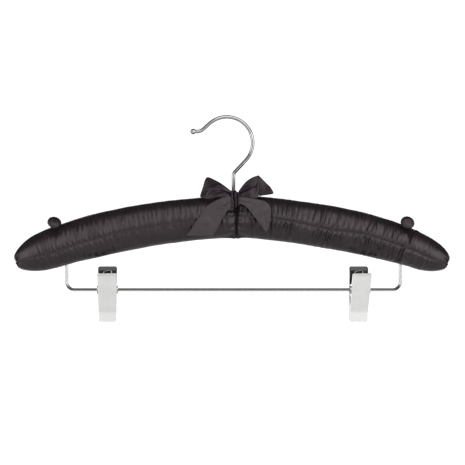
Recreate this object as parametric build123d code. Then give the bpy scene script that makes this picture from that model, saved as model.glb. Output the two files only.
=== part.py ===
"""Padded satin clothes hanger with a swivel hook, a trouser bar and two spring clips.

Millimetres. +X runs along the arms, +Y to the back, +Z up. The origin is the point inside the hook
that rests on the rail, straight above the stem.
"""

from build123d import *
import os
from math import acos, asin, atan2, cos, degrees, hypot, radians, sin

# ---------------------------------------------------------------- driving dimensions
HANGER_WIDTH = 381.0

# Hook: one steel wire with a bead formed on its end.
HOOK_WIRE_D = 3.2
HOOK_ARC_R = 22.8
HOOK_ARC_X = -5.9
HOOK_MOUTH_ANGLE = 132.0
HOOK_BEAD_D = 5.0
HOOK_BEAD_X = -35.5
HOOK_FLICK_R = 8.4
STEM_BEND_Z = -47.4
STEM_BEND_R = 4.5

# Arms: the centreline falls away from the middle in two arcs, the outer one tighter.
ARM_Z = -84.5
ARM_ANGLE_MIDDLE = 3.2
ARM_ANGLE_KNEE = 12.8
ARM_ANGLE_END = 19.2
ARM_KNEE_X = 112.0
ARM_HEIGHT = 36.6
ARM_DEPTH = 32.0
ARM_CAP_LENGTH = 37.3
SLEEVE_WALL = 0.7
SLEEVE_GAP = 0.15

# Wooden core and what the hook turns in.
CORE_HEIGHT = 22.0
CORE_DEPTH = 10.0
CORE_CORNER_R = 3.0
CORE_HALF_LENGTH = 171.0
CORE_FIT = 0.1
BUSH_D = 6.0
BUSH_FLANGE_D = 9.0
BUSH_FLANGE = 1.0
STEM_CLEARANCE = 0.05
RECESS_D = 10.0
RECESS_DEPTH = 5.0
WASHER_D = 9.0
WASHER_THICKNESS = 1.0
STEM_HEAD_D = 5.8
STEM_HEAD = 1.4
STEM_COLLAR_D = 5.4
STEM_COLLAR = 1.2

# Trouser bar: one wire bent to a wide U, pushed into the core from below.
BAR_D = 2.7
BAR_HALF_SPAN = 147.1
BAR_Z = -150.0
BAR_BEND_R = 7.0
BAR_SOCKET_DEPTH = 14.0

# Satin-covered buttons that keep straps on the arms.
# Each button's middle, tilt up from the front and turn to the right, left button first.
BUTTON_SEATS = {
    -1: ((-156.5, -10.6, -91.0), 47.0, 25.0),
    1: ((151.8, -11.2, -91.0), 60.0, 14.0),
}
BUTTON_D = 12.0
BUTTON_DOME = 3.2
BUTTON_CLOTH = 0.5
BUTTON_SHELL = 0.5

# Ribbon bow on the front of the stem.
RIBBON = 0.6
RIBBON_RISE = (0.0, 0.0, 1.0)
LOOP_Z = -59.5
LOOP_BAND = 26.0
KNOT_X = (-4.6, 6.0)
KNOT_Y = (-18.6, -6.0)
KNOT_Z = (-77.0, -62.6)
KNOT_R = 3.0
COLLAR_Z = (-65.9, -62.6)

# Spring clips, drawn upright and shut with the hinge at their own origin.
CLIP_X = 111.2
CLIP_TILT = 15.0
CLIP_TURN = 4.0
SHEET = 0.9
CLIP_TOP_WIDTH = 16.8
CLIP_TIP_WIDTH = 15.6
CLIP_TOP_Z = 18.3
CLIP_TIP_Z = -29.0
CLIP_TOP_Y = -9.7
CLIP_GRIP_Y = -1.9
CLIP_GRIP_Z = -20.0
CLIP_CORNER_R = 1.6
EAR_R = 4.9
EAR_GAP = 0.25
EYELET_BORE_D = 4.4
EYELET_D = 5.4
EYELET_HEAD_D = 7.0
EYELET_HEAD = 0.9
JAW_GAP = 0.3
GRIP_PAD = 1.3
GRIP_PAD_HEIGHT = 9.0
SPRING_WIRE_D = 1.0
SPRING_COIL_R = 3.4
SPRING_TURNS = 2
SPRING_PITCH = 0.9
SPRING_COIL_X = 3.4
SPRING_LEG_Z = 12.5
SPRING_BRIDGE_Z = (14.4, 15.8)

FAR = 60.0  # reaches past any small piece that is cut with it


# ---------------------------------------------------------------- small helpers
def span_box(x, y, z):
    """A block between two limits on each axis."""
    centre = [(low + high) / 2 for low, high in (x, y, z)]
    size = [high - low for low, high in (x, y, z)]
    return Pos(*centre) * Box(*size)


def side_prism(points, half_width):
    """A (y, z) outline carried along X, the same distance to each side."""
    outline = make_face(Polyline(*[(0, y, z) for y, z in points], close=True))
    return extrude(outline, amount=half_width, dir=(1, 0, 0), both=True)


def front_prism(outline, reach=FAR):
    """A face drawn in the XZ plane, carried to both sides along Y."""
    return extrude(outline, amount=reach, dir=(0, 1, 0), both=True)


def cylinder_between(radius, low, high, x=0.0, y=0.0):
    """An upright round bar from low to high."""
    return Pos(x, y, (low + high) / 2) * Cylinder(radius, high - low)


def wire_along(path, diameter):
    """A round wire swept along a path from its start."""
    return sweep(Plane(path @ 0, z_dir=path % 0) * Circle(diameter / 2), path=path)


def both_sides(solid):
    """The same shape on the left, as its mirror image."""
    return mirror(solid, about=Plane.YZ)


# ---------------------------------------------------------------- arms
ARM_CAP_X = HANGER_WIDTH / 2 - hypot(
    ARM_CAP_LENGTH * cos(radians(ARM_ANGLE_END)), ARM_HEIGHT / 2 * sin(radians(ARM_ANGLE_END))
)
ARM_BENDS = [(0.0, ARM_ANGLE_MIDDLE), (ARM_KNEE_X, ARM_ANGLE_KNEE), (ARM_CAP_X, ARM_ANGLE_END)]


def arm_centre(x):
    """Height of the arm's centreline at a distance x from the middle."""
    z = ARM_Z
    for (x0, angle0), (x1, angle1) in zip(ARM_BENDS, ARM_BENDS[1:]):
        sine0, sine1 = sin(radians(angle0)), sin(radians(angle1))
        radius = (x1 - x0) / (sine1 - sine0)
        sine = sine0 + (min(x, x1) - x0) / radius
        z += radius * ((1 - sine**2) ** 0.5 - (1 - sine0**2) ** 0.5)
        if x <= x1:
            return z
    return z - (x - ARM_CAP_X) * sin(radians(ARM_ANGLE_END)) / cos(radians(ARM_ANGLE_END))


def arm_path(end_x):
    """The right arm's centreline, from a little past the middle to end_x."""
    lead = 6.0
    tilt = radians(ARM_ANGLE_MIDDLE)
    edges = [Line((-lead * cos(tilt), 0, ARM_Z + lead * sin(tilt)), (0, 0, ARM_Z))]
    for (x0, _), (x1, _) in zip(ARM_BENDS, ARM_BENDS[1:]):
        stops = [(x, 0, arm_centre(x)) for x in (x0, (x0 + x1) / 2, x1)]
        edges.append(ThreePointArc(*stops))
    if end_x > ARM_CAP_X:
        edges.append(Line((ARM_CAP_X, 0, arm_centre(ARM_CAP_X)), (end_x, 0, arm_centre(end_x))))
    return Wire(edges)


def arm_body(skin):
    """The right arm's rounded outer form, taken in by skin, cut flat at the middle."""
    height, depth = ARM_HEIGHT - 2 * skin, ARM_DEPTH - 2 * skin
    path = arm_path(ARM_CAP_X)
    start = Plane(path @ 0, x_dir=(0, 1, 0), z_dir=path % 0)
    tube = sweep(start * Ellipse(depth / 2, height / 2), path=path)
    half_ball = Sphere(1, arc_size1=0, align=(Align.CENTER, Align.CENTER, Align.MIN))
    cap = scale(half_ball, by=(height / 2, depth / 2, ARM_CAP_LENGTH - skin))
    cap = Pos(ARM_CAP_X, 0, arm_centre(ARM_CAP_X)) * Rot(0, 90 + ARM_ANGLE_END, 0) * cap
    return (tube + cap) - span_box((-FAR, 0), (-FAR, FAR), (ARM_Z - FAR, ARM_Z + FAR))


def core_blank(fit):
    """The wooden core without its holes, larger all round by fit."""
    path = arm_path(CORE_HALF_LENGTH + fit)
    start = Plane(path @ 0, x_dir=(0, 1, 0), z_dir=path % 0)
    section = RectangleRounded(CORE_DEPTH + 2 * fit, CORE_HEIGHT + 2 * fit, CORE_CORNER_R)
    half = sweep(start * section, path=path)
    half -= span_box((-FAR, 0), (-FAR, FAR), (ARM_Z - FAR, ARM_Z + FAR))
    return half + both_sides(half)


CORE_TOP_Z = ARM_Z + CORE_HEIGHT / 2 / cos(radians(ARM_ANGLE_MIDDLE))
CORE_BOTTOM_Z = ARM_Z - CORE_HEIGHT / 2 / cos(radians(ARM_ANGLE_MIDDLE))
RECESS_TOP_Z = CORE_BOTTOM_Z + RECESS_DEPTH
BAR_END_Z = arm_centre(BAR_HALF_SPAN) - CORE_HEIGHT / 2 + BAR_SOCKET_DEPTH
BUSH_SEAT_Z = CORE_TOP_Z - 0.8


def wood_core():
    """The core with the stem's bore, its recesses and the two sockets for the trouser bar."""
    core = core_blank(0)
    core -= cylinder_between(BUSH_D / 2, CORE_BOTTOM_Z - FAR / 2, CORE_TOP_Z + 5)
    core -= cylinder_between(BUSH_FLANGE_D / 2 + 0.2, BUSH_SEAT_Z, CORE_TOP_Z + 5)
    core -= cylinder_between(RECESS_D / 2, CORE_BOTTOM_Z - 5, RECESS_TOP_Z)
    for side in (-1, 1):
        x = side * BAR_HALF_SPAN
        core -= cylinder_between(BAR_D / 2, arm_centre(BAR_HALF_SPAN) - FAR, BAR_END_Z, x)
    return core


def stem_bush():
    """A flanged steel sleeve that lines the stem's bore."""
    bush = cylinder_between(BUSH_D / 2, RECESS_TOP_Z, BUSH_SEAT_Z)
    bush += cylinder_between(BUSH_FLANGE_D / 2, BUSH_SEAT_Z, BUSH_SEAT_Z + BUSH_FLANGE)
    return bush - cylinder_between(HOOK_WIRE_D / 2 + STEM_CLEARANCE, ARM_Z - FAR, ARM_Z + FAR)


def stem_washer():
    """The washer that the stem's headed end turns against."""
    washer = cylinder_between(WASHER_D / 2, RECESS_TOP_Z - WASHER_THICKNESS, RECESS_TOP_Z)
    return washer - cylinder_between(HOOK_WIRE_D / 2 + 2 * STEM_CLEARANCE, ARM_Z - FAR, ARM_Z)


def arm_passages(stem_room):
    """What the stem and the trouser bar pass through, in the padding or in the sleeves."""
    room = cylinder_between(stem_room, CORE_TOP_Z - 2, ARM_Z + ARM_HEIGHT)
    for side in (-1, 1):
        x = side * BAR_HALF_SPAN
        room += cylinder_between(BAR_D / 2 + 0.1, BAR_Z, arm_centre(BAR_HALF_SPAN), x)
    return room


def padding_half():
    """The wadding round one side of the core."""
    body = arm_body(SLEEVE_WALL + SLEEVE_GAP) - core_blank(CORE_FIT)
    return body - arm_passages(BUSH_FLANGE_D / 2 + 0.3)


def sleeve_half():
    """The satin sleeve over one arm, closed at the tip and open at the middle seam."""
    return arm_body(0) - arm_body(SLEEVE_WALL) - arm_passages(HOOK_WIRE_D / 2 + 0.35)


# ---------------------------------------------------------------- hook
def hook():
    """The chromed hook: bead, flick, arc, slant, stem, collar and headed end."""
    arc_z = -(((HOOK_ARC_R - HOOK_WIRE_D / 2) ** 2 - HOOK_ARC_X**2) ** 0.5)
    centre = Vector(HOOK_ARC_X, 0, arc_z)

    def on_arc(angle):
        turn = radians(angle)
        return centre + Vector(cos(turn), 0, sin(turn)) * HOOK_ARC_R

    bend = Vector(0, 0, STEM_BEND_Z)
    to_centre = centre - bend
    leave = degrees(atan2(to_centre.Z, to_centre.X)) - degrees(asin(HOOK_ARC_R / to_centre.length))
    leave_angle = leave - 90
    mouth = on_arc(HOOK_MOUTH_ANGLE)
    fall = radians(HOOK_MOUTH_ANGLE - 90)
    flick_run = (mouth.X - HOOK_BEAD_X) * 0.55
    flick_corner = mouth + Vector(-cos(fall), 0, -sin(fall)) * (flick_run / cos(fall))
    bead = Vector(HOOK_BEAD_X, 0, flick_corner.Z)
    stem_end = Vector(0, 0, RECESS_TOP_Z - WASHER_THICKNESS - STEM_CLEARANCE - STEM_HEAD)

    flick = FilletPolyline(bead, flick_corner, mouth, radius=HOOK_FLICK_R)
    arc = ThreePointArc(mouth, on_arc(60), on_arc(leave_angle))
    slant = FilletPolyline(on_arc(leave_angle), bend, stem_end, radius=STEM_BEND_R)
    wire = wire_along(Wire([*flick.edges(), arc, *slant.edges()]), HOOK_WIRE_D)

    collar_z = BUSH_SEAT_Z + BUSH_FLANGE + STEM_CLEARANCE
    wire += Pos(*bead) * Sphere(HOOK_BEAD_D / 2)
    wire += cylinder_between(STEM_COLLAR_D / 2, collar_z, collar_z + STEM_COLLAR)
    return wire + cylinder_between(STEM_HEAD_D / 2, stem_end.Z, stem_end.Z + STEM_HEAD)


# ---------------------------------------------------------------- trouser bar
def trouser_bar():
    """The wide U of wire that the clips slide on."""
    corners = [
        (-BAR_HALF_SPAN, 0, BAR_END_Z),
        (-BAR_HALF_SPAN, 0, BAR_Z),
        (BAR_HALF_SPAN, 0, BAR_Z),
        (BAR_HALF_SPAN, 0, BAR_END_Z),
    ]
    return wire_along(FilletPolyline(*corners, radius=BAR_BEND_R), BAR_D)


# ---------------------------------------------------------------- buttons
def button_place(side):
    """Where a button sits: its own +Z looks out of the dome."""
    middle, tilt, turn = BUTTON_SEATS[side]
    return Pos(*middle) * Rot(0, turn, 0) * Rot(tilt, 0, 0)


def dome(radius, height, base):
    """A shallow dome over a short round wall, standing on base."""
    wall = 1.0
    rise = height - wall
    ball_r = (radius**2 + rise**2) / (2 * rise)
    cap = Pos(0, 0, base + wall + rise - ball_r) * Sphere(ball_r)
    cap &= cylinder_between(radius, base + wall, base + height + 1)
    return cap + cylinder_between(radius, base, base + wall)


def button_cover():
    """The satin drawn over the dome."""
    outer = dome(BUTTON_D / 2, BUTTON_DOME, 0)
    return outer - dome(BUTTON_D / 2 - BUTTON_CLOTH, BUTTON_DOME - BUTTON_CLOTH, 0)


def button_shell():
    """The pressed metal dome under the satin."""
    radius, height = BUTTON_D / 2 - BUTTON_CLOTH - 0.03, BUTTON_DOME - BUTTON_CLOTH - 0.03
    return dome(radius, height, 0) - dome(radius - BUTTON_SHELL, height - BUTTON_SHELL, 0)


def button_back():
    """The back plate that closes the shell, with its wire eye."""
    plate = Pos(0, 0, -0.4) * Cylinder(BUTTON_D / 2 - 0.8, 0.7)
    eye = Pos(0, 0, -1.9) * Rot(90, 0, 0) * Torus(1.3, 0.4)
    return plate + (eye - span_box((-FAR, FAR), (-FAR, FAR), (-0.6, FAR)))


def button_thread():
    """The wound thread from the eye to the sleeve."""
    thread = Pos(0, 0, -4.6) * Cylinder(1.5, 4.8)
    eye_room = Pos(0, 0, -1.9) * Rot(90, 0, 0) * Torus(1.3, 0.45)
    return thread - eye_room


# ---------------------------------------------------------------- bow
def loop_outline(corners):
    """A loop's front outline in the XZ plane."""
    return make_face(Polyline(*[(x, 0, z) for x, z in corners], close=True))


def ribbon_along(path, width):
    """A ribbon on edge, swept along its path."""
    start = Plane(path @ 0, x_dir=(path % 0).cross(Vector(*RIBBON_RISE)), z_dir=path % 0)
    return sweep(start * Rectangle(RIBBON, width), path=path)


def bow_loop(side, reach, outline):
    """A band of ribbon that goes out from the knot and comes back, seen as outline from the front."""
    loop = Spline(
        (side * 2.0, -13.0, LOOP_Z),
        (side * reach * 0.5, -16.6, LOOP_Z),
        (side * (reach - 1.2), -13.6, LOOP_Z),
        (side * (reach - 0.8), -8.6, LOOP_Z),
        (side * reach * 0.5, -6.6, LOOP_Z),
        (side * 2.0, -10.6, LOOP_Z),
    )
    return ribbon_along(loop, LOOP_BAND) & front_prism(loop_outline(outline), FAR)


def bow_tail(outline):
    """A hanging end of the ribbon that follows the front of the arm."""
    drape = Spline((0, -14.0, -64.0), (0, -16.8, -76.0), (0, -17.4, -88.0), (0, -16.6, -104.0))
    start = Plane(drape @ 0, x_dir=(1, 0, 0), z_dir=drape % 0)
    strip = sweep(start * Rectangle(2 * FAR, RIBBON), path=drape)
    return strip & front_prism(loop_outline(outline), FAR)


LEFT_LOOP = [(-1.5, -63.5), (-7.5, -60.6), (-12.8, -56.9), (-19.0, -53.2), (-23.8, -50.9),
             (-27.6, -58.5), (-29.5, -67.2), (-24.0, -68.6), (-14.6, -68.4), (-1.5, -68.0)]
RIGHT_LOOP = [(3.0, -63.0), (6.4, -60.4), (9.4, -56.7), (14.6, -51.8), (20.7, -49.7), (23.4, -51.4),
              (28.7, -58.0), (32.6, -62.0), (34.4, -65.4), (22.5, -66.3), (21.6, -68.2), (3.0, -68.4)]
LEFT_TAIL = [(-2.0, -69.6), (-11.9, -69.6), (-18.0, -71.7), (-21.8, -74.9), (-34.0, -91.5),
             (-41.4, -102.3), (-18.4, -102.3), (-3.0, -76.0)]
RIGHT_TAIL = [(4.0, -69.6), (27.0, -69.6), (31.6, -73.6), (34.8, -80.0), (28.7, -98.6),
              (26.6, -96.4), (12.8, -79.2), (4.0, -74.0)]


def knot():
    """The knot, hollowed at its back to sit on the arms."""
    block = span_box(KNOT_X, KNOT_Y, KNOT_Z)
    block = fillet(block.edges(), KNOT_R)
    clear = arm_body(-0.25)
    return block - clear - both_sides(clear)


def bow_collar():
    """The turn of ribbon that holds the bow to the stem."""
    inner_r = HOOK_WIRE_D / 2 + 0.35
    outer_r = inner_r + RIBBON

    def tongue(radius):
        shape = Circle(radius) + Pos(0, -6) * Rectangle(2 * radius, 12)
        return extrude(Pos(0, 0, COLLAR_Z[0]) * shape, amount=COLLAR_Z[1] - COLLAR_Z[0])

    return tongue(outer_r) - tongue(inner_r)


def bow():
    """Every ribbon piece, cut back where one goes under another."""
    middle = knot()
    loops = {
        "left": bow_loop(-1, 29.5, LEFT_LOOP) - middle,
        "right": bow_loop(1, 34.8, RIGHT_LOOP) - middle,
    }
    tails = {}
    for side, outline in (("left", LEFT_TAIL), ("right", RIGHT_TAIL)):
        tails[side] = bow_tail(outline) - middle - loops["left"] - loops["right"]
    pieces = {"bow_knot": middle, "bow_collar": bow_collar() - middle}
    for side in ("left", "right"):
        pieces[f"bow_{side}_loop"] = loops[side]
        pieces[f"bow_{side}_tail"] = tails[side]
    return pieces


# ---------------------------------------------------------------- clips
def plate_y(z):
    """Depth of the front plate's middle surface at a height z."""
    if z <= CLIP_GRIP_Z:
        return CLIP_GRIP_Y
    share = (z - CLIP_GRIP_Z) / (CLIP_TOP_Z - CLIP_GRIP_Z)
    return CLIP_GRIP_Y + (CLIP_TOP_Y - CLIP_GRIP_Y) * share


def clip_half_width(z):
    """Half the clip's width, which narrows towards its tip."""
    share = (z - CLIP_TIP_Z) / (CLIP_TOP_Z - CLIP_TIP_Z)
    return (CLIP_TIP_WIDTH + (CLIP_TOP_WIDTH - CLIP_TIP_WIDTH) * share) / 2


def clip_front(inset):
    """The clip's outline seen from the front, taken in at its sides."""
    top, tip = clip_half_width(CLIP_TOP_Z) - inset, clip_half_width(CLIP_TIP_Z) - inset
    points = [(-tip, 0, CLIP_TIP_Z), (tip, 0, CLIP_TIP_Z), (top, 0, CLIP_TOP_Z), (-top, 0, CLIP_TOP_Z)]
    face = make_face(Polyline(*points, close=True))
    if inset == 0:
        face = fillet(face.vertices(), CLIP_CORNER_R)
    return front_prism(face, FAR / 2)


def clip_plate_side(offset_y):
    """The line of the plate's surface in the side view, from the tip up to the rolled top."""
    lip = 3.0
    points = [(plate_y(z) + offset_y, z) for z in (CLIP_TIP_Z, CLIP_GRIP_Z, CLIP_TOP_Z - lip)]
    return points + [(plate_y(CLIP_TOP_Z) - 0.7 + offset_y, CLIP_TOP_Z)]


def clip_tray(edge):
    """A pressed plate on the front side with side walls that reach the given (y, z) edge."""
    outer_line = clip_plate_side(-SHEET / 2)
    inner_line = clip_plate_side(SHEET / 2)
    outer = side_prism([*outer_line, *reversed(edge)], FAR / 2) & clip_front(0)
    behind = [*inner_line, (FAR / 2, CLIP_TOP_Z), (FAR / 2, CLIP_TIP_Z)]
    return outer - (side_prism(behind, FAR / 2) & clip_front(SHEET))


def front_jaw():
    """The jaw that faces the user: outer ears, with holes for the eyelet."""
    edge = [
        (-JAW_GAP / 2 - 0.1, CLIP_TIP_Z),
        (-JAW_GAP / 2 - 0.1, -15.5),
        (plate_y(-13) + 1.6, -12.0),
        (plate_y(-8) + 1.8, -7.6),
        (plate_y(-6) + 3.6, -5.4),
        (0.0, -EAR_R),
        (0.0, EAR_R),
        (plate_y(6) + 2.8, 6.2),
        (plate_y(9) + 1.8, 9.0),
        (plate_y(CLIP_TOP_Z) + 0.5, CLIP_TOP_Z),
    ]
    jaw = clip_tray(edge)
    x_outer = clip_half_width(0)
    for side in (-1, 1):
        ear = Rot(0, 90, 0) * Cylinder(EAR_R, SHEET)
        jaw += Pos(side * (x_outer - SHEET / 2), 0, 0) * ear
    jaw -= Rot(0, 90, 0) * Cylinder(EYELET_D / 2 + 0.05, FAR)
    return jaw


def rear_jaw():
    """The jaw at the back: shallow side walls, and inner ears between the front ones."""
    edge = [
        (-JAW_GAP / 2 - 0.1, CLIP_TIP_Z),
        (-JAW_GAP / 2 - 0.1, -15.5),
        (plate_y(-13) + 1.6, -12.0),
        (plate_y(-6) + 0.6, -6.6),
        (plate_y(6) + 0.6, 6.6),
        (plate_y(9) + 1.8, 9.0),
        (plate_y(CLIP_TOP_Z) + 0.5, CLIP_TOP_Z),
    ]
    jaw = clip_tray(edge)
    x_inner = clip_half_width(0) - SHEET - EAR_GAP - SHEET / 2
    foot = side_prism([(plate_y(5.5), 5.5), (0, 4.0), (0, -4.0), (plate_y(-5.5), -5.5)], FAR / 2)
    ear = (foot & span_box((-SHEET / 2, SHEET / 2), (-FAR, FAR), (-FAR, FAR))) + (
        Rot(0, 90, 0) * Cylinder(EAR_R - 0.4, SHEET)
    )
    for side in (-1, 1):
        jaw += Pos(side * x_inner, 0, 0) * ear
    jaw -= Rot(0, 90, 0) * Cylinder(EYELET_D / 2 + 0.05, FAR)
    return mirror(jaw, about=Plane.XZ)


def grip_pad():
    """The soft pad inside the front jaw's tip."""
    half = clip_half_width(CLIP_TIP_Z) - SHEET - 0.4
    low = CLIP_TIP_Z + 0.6
    front = CLIP_GRIP_Y + SHEET / 2
    block = span_box((-half, half), (front, front + GRIP_PAD), (low, low + GRIP_PAD_HEIGHT))
    for z in (low + 2.2, low + 4.5, low + 6.8):
        block -= Pos(0, front + GRIP_PAD, z) * Rot(0, 90, 0) * Cylinder(0.4, FAR)
    return block


def eyelet():
    """The hollow rivet: it hinges the jaws and slides along the bar."""
    half = clip_half_width(0) + 0.08
    barrel = Rot(0, 90, 0) * Cylinder(EYELET_D / 2, 2 * half)
    for side in (-1, 1):
        head = Rot(0, 90, 0) * Cylinder(EYELET_HEAD_D / 2, EYELET_HEAD)
        barrel += Pos(side * (half + EYELET_HEAD / 2), 0, 0) * head
    return barrel - Rot(0, 90, 0) * Cylinder(EYELET_BORE_D / 2, FAR)


def spring_leg(x, z, facing):
    """Where a leg leaves the coil at x and where it ends against a plate at a height z."""
    end_y = plate_y(z) + SHEET / 2 + SPRING_WIRE_D / 2 + 0.08
    angle = atan2(z, end_y) + acos(SPRING_COIL_R / hypot(end_y, z))
    start = (x, facing * SPRING_COIL_R * cos(angle), SPRING_COIL_R * sin(angle))
    return start, (x, facing * end_y, z)


def clip_spring():
    """A double torsion spring: two coils, two legs to the front plate and a bridge to the back one."""
    coils = []
    for side in (-1, 1):
        for turn in range(SPRING_TURNS):
            x = side * (SPRING_COIL_X + turn * SPRING_PITCH)
            coils.append(Pos(x, 0, 0) * Rot(0, 90, 0) * Torus(SPRING_COIL_R, SPRING_WIRE_D / 2))
    outer_x = SPRING_COIL_X + (SPRING_TURNS - 1) * SPRING_PITCH
    legs = [wire_along(Line(*spring_leg(side * outer_x, SPRING_LEG_Z, 1)), SPRING_WIRE_D) for side in (-1, 1)]
    left_start, left_end = spring_leg(-SPRING_COIL_X, SPRING_BRIDGE_Z[0], -1)
    right_start, right_end = spring_leg(SPRING_COIL_X, SPRING_BRIDGE_Z[1], -1)
    bridge = FilletPolyline(left_start, left_end, right_end, right_start, radius=1.2)
    spring = wire_along(bridge, SPRING_WIRE_D)
    for piece in coils + legs:
        spring += piece
    return spring


def clip(side):
    """All the pieces of one clip, where it hangs on the bar."""
    name = "left" if side < 0 else "right"
    place = Pos(side * CLIP_X, 0, BAR_Z) * Rot(0, 0, CLIP_TURN) * Rot(CLIP_TILT, 0, 0)
    return {
        f"{name}_clip_front_jaw": place * front_jaw(),
        f"{name}_clip_front_pad": place * grip_pad(),
        f"{name}_clip_rear_jaw": place * rear_jaw(),
        f"{name}_clip_rear_pad": place * mirror(grip_pad(), about=Plane.XZ),
        f"{name}_clip_eyelet": place * eyelet(),
        f"{name}_clip_spring": place * clip_spring(),
    }


# ---------------------------------------------------------------- the whole hanger
def build():
    """Every node by name."""
    padding, sleeve = padding_half(), sleeve_half()
    nodes = {
        "hook": hook(),
        "wood_core": wood_core(),
        "stem_bush": stem_bush(),
        "stem_washer": stem_washer(),
        "trouser_bar": trouser_bar(),
        "right_padding": padding,
        "left_padding": both_sides(padding),
        "right_sleeve": sleeve,
        "left_sleeve": both_sides(sleeve),
    }
    covered = arm_body(-0.02)
    for side, name in ((-1, "left"), (1, "right")):
        arm = both_sides(covered) if side < 0 else covered
        place = button_place(side)
        nodes[f"{name}_button_cover"] = place * button_cover()
        nodes[f"{name}_button_shell"] = place * button_shell()
        nodes[f"{name}_button_back"] = place * button_back()
        nodes[f"{name}_button_thread"] = (place * button_thread()) - arm
        nodes.update(clip(side))
    nodes.update(bow())
    return nodes


os.makedirs("parts", exist_ok=True)
for node, solid in build().items():
    export_step(solid, f"parts/{node}.step")
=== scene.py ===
"""Padded satin clothes hanger with a ribbon bow, covered buttons, a trouser bar and two spring clips."""

import math

import bpy
import numpy as np
from mathutils import Matrix, Vector, noise


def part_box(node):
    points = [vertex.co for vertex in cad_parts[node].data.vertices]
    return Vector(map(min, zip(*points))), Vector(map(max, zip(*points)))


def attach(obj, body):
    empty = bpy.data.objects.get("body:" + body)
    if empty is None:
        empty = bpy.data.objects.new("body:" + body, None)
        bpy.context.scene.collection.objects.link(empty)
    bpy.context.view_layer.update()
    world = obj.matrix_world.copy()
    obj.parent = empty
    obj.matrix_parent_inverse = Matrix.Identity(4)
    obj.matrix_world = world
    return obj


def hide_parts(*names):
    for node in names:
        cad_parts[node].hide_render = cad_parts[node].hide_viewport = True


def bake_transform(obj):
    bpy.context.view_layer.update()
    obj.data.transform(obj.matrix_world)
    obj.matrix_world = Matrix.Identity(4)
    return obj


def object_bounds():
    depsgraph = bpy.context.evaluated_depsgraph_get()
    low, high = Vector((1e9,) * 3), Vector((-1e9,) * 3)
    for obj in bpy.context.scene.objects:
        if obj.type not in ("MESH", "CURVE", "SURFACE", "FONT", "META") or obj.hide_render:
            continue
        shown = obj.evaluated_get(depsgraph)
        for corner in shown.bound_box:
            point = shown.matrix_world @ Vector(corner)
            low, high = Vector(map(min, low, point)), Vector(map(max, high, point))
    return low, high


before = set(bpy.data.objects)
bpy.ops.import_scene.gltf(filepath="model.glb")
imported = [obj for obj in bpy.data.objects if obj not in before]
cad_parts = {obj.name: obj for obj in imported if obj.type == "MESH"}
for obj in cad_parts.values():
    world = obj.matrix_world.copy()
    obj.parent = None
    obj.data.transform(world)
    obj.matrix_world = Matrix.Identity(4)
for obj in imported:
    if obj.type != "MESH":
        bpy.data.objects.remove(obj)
CAD_LOW, CAD_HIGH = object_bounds()

bl_info = {
    "name": "Padded Clip Hanger",
    "version": (1, 0, 0),
    "blender": (4, 5, 0),
    "location": "3D View > Sidebar > Hanger",
    "description": "Dresses a padded satin clothes hanger and sets its studio",
    "category": "Object",
}

SIDES = (("left", -1), ("right", 1))
MM = 0.001


# ---- sizes and colours
class HangerSizes(bpy.types.PropertyGroup):
    """Sizes of the soft pieces and of the studio."""

    gather: bpy.props.FloatProperty(
        name="Gather", description="Spare length of satin that the front seam draws in",
        default=0.05, min=0.0, max=0.3, subtype="FACTOR"
    )
    gather_height: bpy.props.FloatProperty(
        name="Gather height", description="Height of a gather before the satin settles",
        default=2.1 * MM, subtype="DISTANCE"
    )
    lump_height: bpy.props.FloatProperty(
        name="Lump height", description="Unevenness of the wadding", default=0.55 * MM, subtype="DISTANCE"
    )
    puff_limit: bpy.props.FloatProperty(
        name="Puff limit", description="Furthest that the satin may settle", default=1.6 * MM, subtype="DISTANCE"
    )
    stitch: bpy.props.FloatProperty(
        name="Stitch", description="Length of one seam stitch", default=2.6 * MM, subtype="DISTANCE"
    )
    ribbon_thickness: bpy.props.FloatProperty(
        name="Ribbon thickness", description="Thickness of the ribbon", default=0.28 * MM, subtype="DISTANCE"
    )
    camera_distance: bpy.props.FloatProperty(
        name="Camera distance", description="From the camera to the hanger", default=1.1, subtype="DISTANCE"
    )
    frame_width: bpy.props.FloatProperty(
        name="Frame width", description="Width that the camera takes in at the hanger",
        default=0.4101, subtype="DISTANCE"
    )


class HangerColours(bpy.types.PropertyGroup):
    """Colours of the hanger's finishes."""

    satin: bpy.props.FloatVectorProperty(
        name="Satin", description="Arms and buttons", default=(0.0158, 0.0108, 0.0132), subtype="COLOR"
    )
    ribbon: bpy.props.FloatVectorProperty(
        name="Ribbon", description="Bow", default=(0.038, 0.030, 0.0335), subtype="COLOR"
    )
    # painted shade: a darker copy of the ribbon colour, for the loops, knot and collar
    painted_shade_ribbon: bpy.props.FloatVectorProperty(
        name="Folded ribbon", description="Loops, knot and collar, where the ribbon shades itself",
        default=(0.0088, 0.0042, 0.0068), subtype="COLOR"
    )
    thread: bpy.props.FloatVectorProperty(
        name="Thread", description="Seam stitches and button shanks", default=(0.02, 0.017, 0.02), subtype="COLOR"
    )
    chrome: bpy.props.FloatVectorProperty(
        name="Chrome", description="Hook, bar, clips and rivets", default=(0.80, 0.80, 0.79), subtype="COLOR"
    )
    grip: bpy.props.FloatVectorProperty(
        name="Grip pads", description="Soft pads in the clips", default=(0.50, 0.49, 0.46), subtype="COLOR"
    )
    wood: bpy.props.FloatVectorProperty(
        name="Wood", description="Core inside the arms", default=(0.45, 0.29, 0.15), subtype="COLOR"
    )
    floor: bpy.props.FloatVectorProperty(
        name="Floor", description="Studio floor", default=(0.92, 0.92, 0.92), subtype="COLOR"
    )


# ---- helpers
def deselect_all():
    """Leave object mode with nothing selected."""
    if bpy.context.mode != "OBJECT":
        bpy.ops.object.mode_set(mode="OBJECT")
    bpy.ops.object.select_all(action="DESELECT")


def pick(piece):
    """Make one piece the selected and active one."""
    deselect_all()
    piece.select_set(True)
    bpy.context.view_layer.objects.active = piece


def read_all(items, key, width=3):
    """One value or vector of each item, as an array."""
    values = np.empty(len(items) * width, np.float32)
    items.foreach_get(key, values)
    return values.reshape(-1, width).astype(float)


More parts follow.
